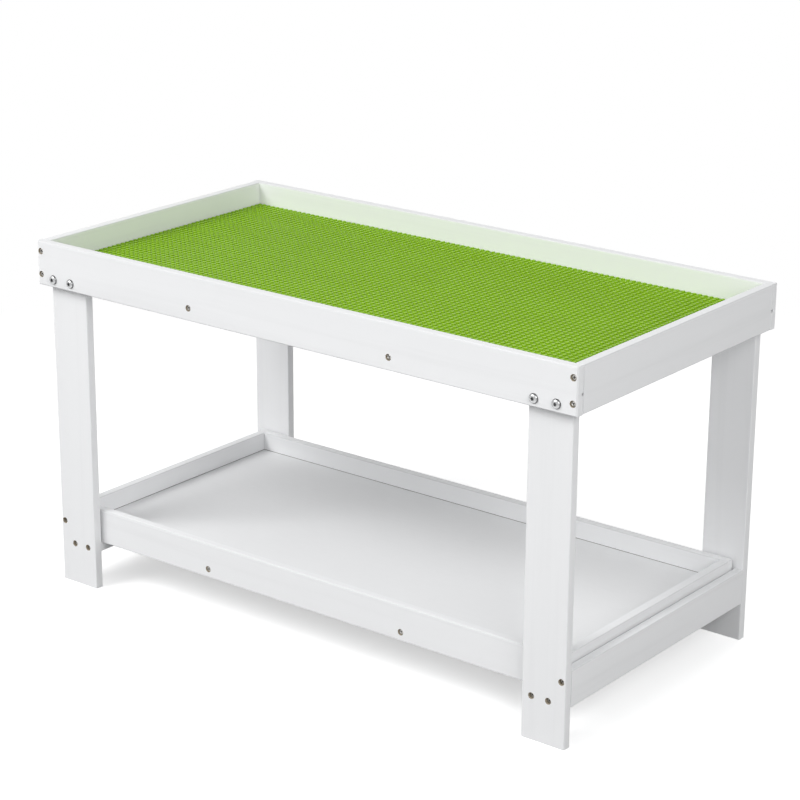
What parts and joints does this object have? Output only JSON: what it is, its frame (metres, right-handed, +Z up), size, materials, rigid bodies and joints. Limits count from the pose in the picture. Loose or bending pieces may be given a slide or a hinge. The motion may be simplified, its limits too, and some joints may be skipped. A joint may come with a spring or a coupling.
{
  "type": "play table",
  "caption": "Free-standing wooden play table: a shallow railed top floored with studded building plates, on flat legs, over a loose storage tray that lifts off low bearers.",
  "frame": {"origin": "on the floor, under the middle of the table", "axes": "+X along the table's length, +Y from the front to the back, +Z up"},
  "size_m": [0.826, 0.431, 0.463],
  "materials": {
    "painted_board": "white satin paint on softwood, faint grain",
    "painted_panel": "white painted hardboard",
    "plate_plastic": "moulded grass-green plastic",
    "screw_steel": "zinc-plated",
    "bolt_steel": "bright zinc-plated"
  },
  "bodies": {
    "frame": {"front_board": "painted_board", "back_board": "painted_board", "left_end_board": "painted_board", "right_end_board": "painted_board", "front_left_leg": "painted_board", "front_right_leg": "painted_board", "back_left_leg": "painted_board", "back_right_leg": "painted_board", "left_top_batten": "painted_board", "right_top_batten": "painted_board", "left_end_rail": "painted_board", "right_end_rail": "painted_board", "left_bearer": "painted_board", "right_bearer": "painted_board", "play_panel": "painted_panel", "left_building_plate": "plate_plastic", "right_building_plate": "plate_plastic", "corner_screws": "screw_steel", "top_batten_screws": "screw_steel", "rail_screws": "screw_steel", "bearer_screws": "screw_steel", "leg_bolts": "bolt_steel", "leg_insert_nuts": "bolt_steel"},
    "storage_tray": {"tray_front_board": "painted_board", "tray_back_board": "painted_board", "tray_left_board": "painted_board", "tray_right_board": "painted_board", "left_tray_batten": "painted_board", "right_tray_batten": "painted_board", "tray_panel": "painted_panel", "tray_corner_screws": "screw_steel", "tray_batten_screws": "screw_steel"}
  },
  "joints": [
    {"name": "storage_tray_lift", "type": "slide", "parent": "frame", "child": "storage_tray", "axis": [0, 0, 1], "range_m": [0, 0.3]}
  ]
}
